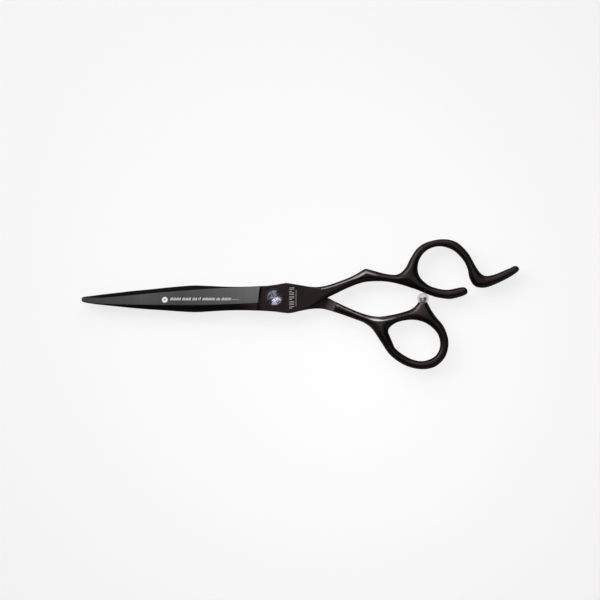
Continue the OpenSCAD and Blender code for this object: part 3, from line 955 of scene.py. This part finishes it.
def crystal_material():
    """Clear glass with a lilac cast."""
    n = Nodes("lilac_crystal")
    haze = n.noise(0.9, 3, 0.5)
    colour = n.ramp(haze, [(0.3, (0.86, 0.83, 0.93, 1)), (0.7, (0.93, 0.92, 0.97, 1))])
    return n.set(Base_Color=colour, Roughness=n.vary(haze, 0.01, 0.04), IOR=1.33,
                 Transmission_Weight=1.0, Normal=n.bump(haze, 0.02, 0.01))


piece(outward(mesh_object("pivot_crystal_cut", *crystal_mesh(), [crystal_material()], smooth_angle=0)),
      "crystal", "finger_half", "pivot_crystal")


def foil_mesh():
    """The silvered cup under the crystal, pressed into eight creased sides."""
    low, high = cad_box("crystal_foil")
    r, base, wall = (high[0] - low[0]) / 2, low[2], 0.05
    v, f = [], []
    for lift in (0, wall):
        v += [polar(r - 0.2, 22.5 * j, high[2] - wall + lift) for j in range(16)]
        v += [polar(0.5 * r - 0.16 * (j % 2), 22.5 * j, base + 0.42 * (high[2] - wall - base) + lift)
              for j in range(16)]
        v.append((0, 0, base + 0.02 + lift))
    for inner in (0, 33):
        for j in range(inner, inner + 16):
            n = inner + (j - inner + 1) % 16
            f += [(j, n, 16 + n), (j, 16 + n, 16 + j), (16 + j, 16 + n, inner + 32)]
    f += [(j, (j + 1) % 16, 33 + (j + 1) % 16, 33 + j) for j in range(16)]
    return v, f


def painted_sparkle_tone(face):
    """Which of the foils a face of the cup takes: pale, violet, rose or bright, laid out facet by facet as
    painted reflections and painted shade of the stone's sparkle.
    """
    j, part = (face // 3) % 16, face % 3
    if part == 2:
        return 1 if j % 4 == 1 else 3
    if j in (3, 4, 11, 12):
        return 3 if j < 8 else 0
    if j in (7, 8):
        return 2
    return 0 if j in (0, 15) and part else 1


def foil_material(name, light, dark):
    """Vacuum-silvered lacquer with a faint violet cast that changes across the cup."""
    n = Nodes(name)
    cast = n.noise(0.55, 2, 0.4)
    grain = n.noise(6.0, 3, 0.6)
    colour = n.ramp(cast, [(0.35, dark + (1,)), (0.65, light + (1,))])
    return n.set(Base_Color=colour, Metallic=0.4, Roughness=n.vary(grain, 0.25, 0.35),
                 Normal=n.bump(grain, 0.05, 0.01))


FOILS = [foil_material("foil_pale", (0.52, 0.50, 0.60), (0.42, 0.40, 0.50)),
         foil_material("foil_violet", (0.12, 0.11, 0.19), (0.08, 0.07, 0.13)),
         foil_material("foil_rose", (0.40, 0.31, 0.34), (0.28, 0.21, 0.25)),
         foil_material("foil_bright", (0.88, 0.86, 0.92), (0.78, 0.76, 0.84))]
verts, faces = foil_mesh()
# painted sparkle: each facet's foil tone stands in for the light and shade the stone throws
tones = [painted_sparkle_tone(face) for face in range(len(faces))]
piece(outward(mesh_object("foil_cup", verts, faces, FOILS, tones, smooth_angle=0)),
      "foil", "finger_half", "crystal_foil")


def ring_profile(node, inner, r=0.05):
    """A flat ring's section, out to the edge of the node's box."""
    low, high = cad_box(node)
    low, outer, high = low[2], high[0], high[2]
    return rounded([(inner, (low + high) / 2), (inner, low), (outer, low), (outer, high),
                    (inner, high), (inner, (low + high) / 2)], r)[:-1]


BRASS = metal_material("bush_brass", (0.55, 0.38, 0.17), 0.3, at=(0.3, 0.3, 3))
piece(lathe("bush_turned", ring_profile("pivot_bush", 2.04), 72, [BRASS]),
      "bush_brass", "thumb_half", "pivot_bush")

SLIP = plastic_material("slip_plastic", (0.62, 0.60, 0.55), 0.42)
piece(lathe("friction_washer_cut", ring_profile("friction_washer", 1.7, 0.03), 72, [SLIP]),
      "slip_plastic", "thumb_half", "friction_washer")

WASHER = metal_material("washer_steel", (0.42, 0.42, 0.44), 0.28, at=(2, 2, 0.2))
low, high = cad_box("spring_washer")
dish = rounded([(1.85, high[2]), (2.0, high[2]), (4.1, low[2] + 0.2), (4.1, low[2]),
                (3.8, low[2]), (1.7, high[2] - 0.2), (1.7, high[2]), (1.85, high[2])], 0.04)[:-1]
piece(lathe("spring_washer_dished", dish, 72, [WASHER]), "washer_steel", "finger_half",
      "spring_washer")


def keyed_shape(r, z, a):
    """Flats on the washer's hole, to match those on the thread."""
    return flatted(r, a, r if r > 2.5 else 1.39)


piece(lathe("key_washer_punched", ring_profile("key_washer", THREAD_R + 0.04), 72, [WASHER],
            shape=keyed_shape), "washer_steel", "finger_half", "key_washer")

NUT_R = (NUT_HIGH[0] - NUT_LOW[0]) / 2
FLUTE_R, FLUTES = 0.36, 24


def nut_shape(r, z, a):
    """Flutes round the edge, for a fingertip."""
    pitch = TURN / FLUTES
    off = abs((a + pitch / 2) % pitch - pitch / 2)
    across = (NUT_R + 0.12) * math.sin(off)
    if across < FLUTE_R and r > 3:
        r = min(r, (NUT_R + 0.12) * math.cos(off) - math.sqrt(FLUTE_R ** 2 - across ** 2))
    return r * math.cos(a), r * math.sin(a)


def spanner_hole(turn):
    """The cutter of one of the four blind slots in the nut's back."""
    c, s = math.cos(turn * math.pi / 2), math.sin(turn * math.pi / 2)
    box = [(THREAD_R + 0.7 + 1.5 * i, j - 0.5, k) for i in (0, 1) for j in (0, 1) for k in (-0.5, 0.4)]
    sides = [(0, 1, 3, 2), (4, 6, 7, 5), (0, 4, 5, 1), (2, 3, 7, 6), (0, 2, 6, 4), (1, 5, 7, 3)]
    return mesh_object("key_hole", [(x * c - y * s, x * s + y * c, z) for x, y, z in box], sides,
                       smooth_angle=0)


hole, mouth, thick = THREAD_R + 0.04, THREAD_R + 0.3, 1.2
nut_profile = rounded([(hole, 0.6), (hole, 0.25), (mouth, 0), (NUT_R - 0.32, 0), (NUT_R, 0.3),
                       (NUT_R, 0.9), (NUT_R - 0.3, thick), (mouth, thick), (hole, thick - 0.25),
                       (hole, 0.6)], 0.1)[:-1]
NUT = metal_material("nut_black", (0.03, 0.027, 0.027), 0.34, metallic=0.5, at=(2, 2, 0.3))
nut = lathe("tension_nut_fluted", nut_profile, 288, [NUT], shape=nut_shape)
for turn in range(4):
    boolean(nut, spanner_hole(turn), "DIFFERENCE")
shade(nut, 30)
piece(nut, "nut_steel", "tension_nut", "tension_nut")

# ---- bumper and its stud ----

STUD = metal_material("stud_brass", (0.34, 0.20, 0.09), 0.34, at=(1, 3, 1))
PLATED = metal_material("stud_head_plated", (0.72, 0.69, 0.72), 0.3, at=(1, 3, 1))
# painted shade: near-black walls in the stud's two blind holes
HOLE_SHADE = plastic_material("stud_hole_painted_shade", (0.02, 0.018, 0.02), 0.5)
stud_profile = ([(0, -4.2), (0.62, -4.2), (STUD_R, -4.02), (STUD_R, -1.35)]
                + rounded([(1.5, -1.35), (1.5, -1.05), (STUD_R, -1.05), (STUD_R, -0.6), (1.15, -0.6),
                           (1.15, 0.5), (0, 0.5)], 0.12))
stud = lathe("bumper_stud_turned", stud_profile, 72, [STUD, PLATED, HOLE_SHADE], "Y", BEAD)
HOLE_R, HOLE_FLOOR = 0.38, -0.1  # the two blind holes in the stud's head
for offset in (-0.68, 0.68):
    drill = lathe("drill", [(0, HOLE_FLOOR), (HOLE_R, HOLE_FLOOR), (HOLE_R, 1.4), (0, 1.4)], 24,
                  [STUD, PLATED, HOLE_SHADE], "Z", BEAD + np.array([offset, 0.05, 0]), angle=0)
    # the holes' walls take the near-black painted shade
    for p in drill.data.polygons:
        p.material_index = 2
    boolean(stud, drill, "DIFFERENCE")
for p in stud.data.polygons:
    if p.material_index == 0 and p.center.y / MM > BEAD[1] - 0.7:
        p.material_index = 1
shade(stud, 30)
piece(stud, "stud_brass", "thumb_half", "bumper_stud")


def bead_material():
    """Clear silicone, a little clouded."""
    n = Nodes("clear_silicone")
    cloud = n.noise(0.6, 3, 0.5)
    fine = n.noise(3.0, 3, 0.6)
    colour = n.ramp(cloud, [(0.3, (0.70, 0.66, 0.72, 1)), (0.7, (0.80, 0.76, 0.81, 1))])
    return n.set(Base_Color=colour, Roughness=n.vary(fine, 0.05, 0.12), IOR=1.52,
                 Transmission_Weight=0.92, Normal=n.bump(fine, 0.04, 0.01))


BEAD_FOOT = 1.35  # the bumper's flat foot, below its middle
arc = [(BEAD_R * math.cos(t), BEAD_R * math.sin(t))
       for t in np.linspace(-math.asin(BEAD_FOOT / BEAD_R), math.pi / 2 - 0.02, 26)]
bead_profile = [(0, -BEAD_FOOT), (1.3, -BEAD_FOOT)] + arc + [(0, BEAD_R)]
piece(lathe("bumper_moulded", bead_profile, 72, [bead_material()], "Y", BEAD),
      "clear_bumper", "thumb_half", "bumper")

# ---- printed marks: plain strokes, no letters ----

INK_SUNK, INK_PROUD = -0.02, 0.015
surface = bmesh.new()
surface.from_mesh(finger.data)
tree = BVHTree.FromBMesh(surface)


def height(x, y):
    """The steel's height at a place on the finger half's front."""
    return tree.ray_cast(Vector((x * MM, y * MM, 0.02)), Vector((0, 0, -1)))[0].z / MM


def ink_sheet(grid, wrap=False):
    """One closed sheet of ink over rows of places, following the steel under it. With wrap, the
    last row meets the first."""
    rows, cols = len(grid), len(grid[0])
    m = rows * cols
    verts = [(x, y, height(x, y) + lift) for lift in (INK_SUNK, INK_PROUD) for row in grid
             for x, y in row]
    faces = []
    for i in range(rows if wrap else rows - 1):
        here, there = i * cols, (i + 1) % rows * cols
        for j in range(cols - 1):
            quad = [here + j, there + j, there + j + 1, here + j + 1]
            faces += [[m + k for k in quad], quad[::-1]]
        for j, way in ((0, 1), (cols - 1, -1)):
            faces.append([here + j, there + j, there + j + m, here + j + m][::way])
    if not wrap:
        for start, way in ((0, -1), (m - cols, 1)):
            for k in range(start, start + cols - 1):
                faces.append([k, k + 1, k + 1 + m, k + m][::way])
    return verts, faces


def bar(x, y, along, up, nu=1, nv=1):
    """A bar of ink with its foot at x, y, running along one way and up another."""
    return ink_sheet([[(x + along[0] * i / nu + up[0] * j / nv, y + along[1] * i / nu + up[1] * j / nv)
                       for j in range(nv + 1)] for i in range(nu + 1)])


def disc(x, y, r, hole, steps=40):
    """A round mark with a hole in it."""
    turns = [TURN * k / steps for k in range(steps)]
    return ink_sheet([[(x + q * math.cos(a), y + q * math.sin(a)) for q in (r, (hole + r) / 2, hole)]
                      for a in turns], wrap=True)


def merged(patches):
    """Several meshes' points and faces as one."""
    verts, faces = [], []
    for v, f in patches:
        faces += [[i + len(verts) for i in face] for face in f]
        verts += v
    return verts, faces


def ink_material(name, value):
    """Pale printing ink, worn in places."""
    n = Nodes(name)
    wear = n.noise(1.8, 4, 0.7)
    colour = n.ramp(wear, [(0.3, grey(value * 0.82)), (0.6, grey(value))])
    return n.set(Base_Color=colour, Roughness=n.vary(wear, 0.5, 0.65), Normal=n.bump(wear, 0.1, 0.01))


def marks(name, patches, material):
    """Ink on the finger half, with no node of the CAD behind it."""
    obj = mesh_object(name, *merged(patches), [material], smooth_angle=0)
    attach(obj, "finger_half")


def blade_marks():
    """A round mark, seven groups of leaning strokes and six short trailing ones."""
    patches = [disc(-46.5, -0.92, 1.2, 0.36)]
    x = -44.3
    for g, count in enumerate((11, 9, 5, 2, 13, 4, 10)):
        tall, pitch = (1.4, 0.6) if g == 3 else (1.15, 0.42)
        for k in range(count):
            patches.append(bar(x, -1.14, (0.2, 0), (0.22, tall * (1.0 if k % 3 else 0.72)), nv=2))
            x += pitch
        x += 0.5
    return patches + [bar(x + 0.46 * k, -0.95, (0.22, 0), (0, 0.22)) for k in range(6)]


def block_marks():
    """A column of long bars across the block, in groups, and a column of short ones."""
    patches = []
    y = -4.7
    for k in range(13):
        y += 0.3 if k % 3 == 2 else 0
        patches.append(bar(6.3, y, (2.1 if k % 5 else 1.2, 0.18), (0, 0.24), nu=3))
        y += 0.62
    return patches + [bar(9.0, -3.6 + 0.44 * k, (0.42, 0), (0, 0.15)) for k in range(16)]


marks("blade_strokes", blade_marks(), ink_material("pale_ink", 0.86))
marks("block_strokes", block_marks(), ink_material("pale_ink_block", 0.5))
surface.free()

# ---- camera, light and floor ----

FRAME_MM = 255.0  # how much the picture takes in across
VIEW_AT = (10.88, -1.02)
GLOW_AT, GLOW_REACH = (35.88, -36), 320  # the floor is brightest here, and fades with distance
FLOOR_Z, FLOOR_HALF = -0.02, 1500
camera = bpy.data.objects.new("camera", bpy.data.cameras.new("camera"))
camera.data.lens = 150
camera.data.sensor_width = 36
camera.data.clip_end = 20
distance = FRAME_MM * camera.data.lens / camera.data.sensor_width
camera.location = (VIEW_AT[0] * MM, VIEW_AT[1] * MM, (PARTING + distance) * MM)
scene.collection.objects.link(camera)
scene.camera = camera


def area_light(name, place, size, power):
    """A rectangular light aimed at the pivot, with its place and size in metres."""
    data = bpy.data.lights.new(name, "AREA")
    data.shape = "RECTANGLE"
    data.size, data.size_y = size
    data.energy = power
    obj = bpy.data.objects.new(name, data)
    obj.location = place
    obj.rotation_euler = (Vector((0.01, 0, 0)) - Vector(place)).to_track_quat("-Z", "Y").to_euler()
    scene.collection.objects.link(obj)


area_light("key", (-0.1, 0.78, 0.62), (1.2, 0.7), 6.3)
area_light("side", (-0.8, 0.5, 0.6), (0.8, 0.6), 7.5)
area_light("overhead", (0.0, 0.27, 1.3), (1.0, 0.7), 2.2)
area_light("fill", (0.5, -0.8, 0.6), (1.0, 0.5), 0.8)

world = bpy.data.worlds.new("studio")
scene.world = world
world.use_nodes = True
world.node_tree.nodes["Background"].inputs["Color"].default_value = (0.95, 0.95, 0.96, 1)
world.node_tree.nodes["Background"].inputs["Strength"].default_value = 0.06

scene.view_settings.view_transform = "Standard"
scene.view_settings.look = "None"



def glowing_floor_material():
    """White paper that glows, with a painted pool of light: brightest under the handles, dimmer further
    out.
    """
    n = Nodes("floor")
    spread = n.add("ShaderNodeTexGradient", gradient_type="SPHERICAL")
    n.link(n.place([1 / GLOW_REACH] * 3), spread.inputs["Vector"])
    return n.set(Base_Color=(0.22, 0.22, 0.22, 1.0), Roughness=0.9, Emission_Color=(1.0, 1.0, 1.0, 1.0),
                 Emission_Strength=n.remap(spread.outputs["Fac"], 0, 1, 0.63, 0.825))


floor_corners = [(x * FLOOR_HALF, y * FLOOR_HALF, FLOOR_Z) for x, y in ((-1, -1), (1, -1), (1, 1), (-1, 1))]
floor = mesh_object("floor", floor_corners, [(0, 1, 2, 3)], [glowing_floor_material()], smooth_angle=0)
floor.location = (GLOW_AT[0] * MM, GLOW_AT[1] * MM, 0)
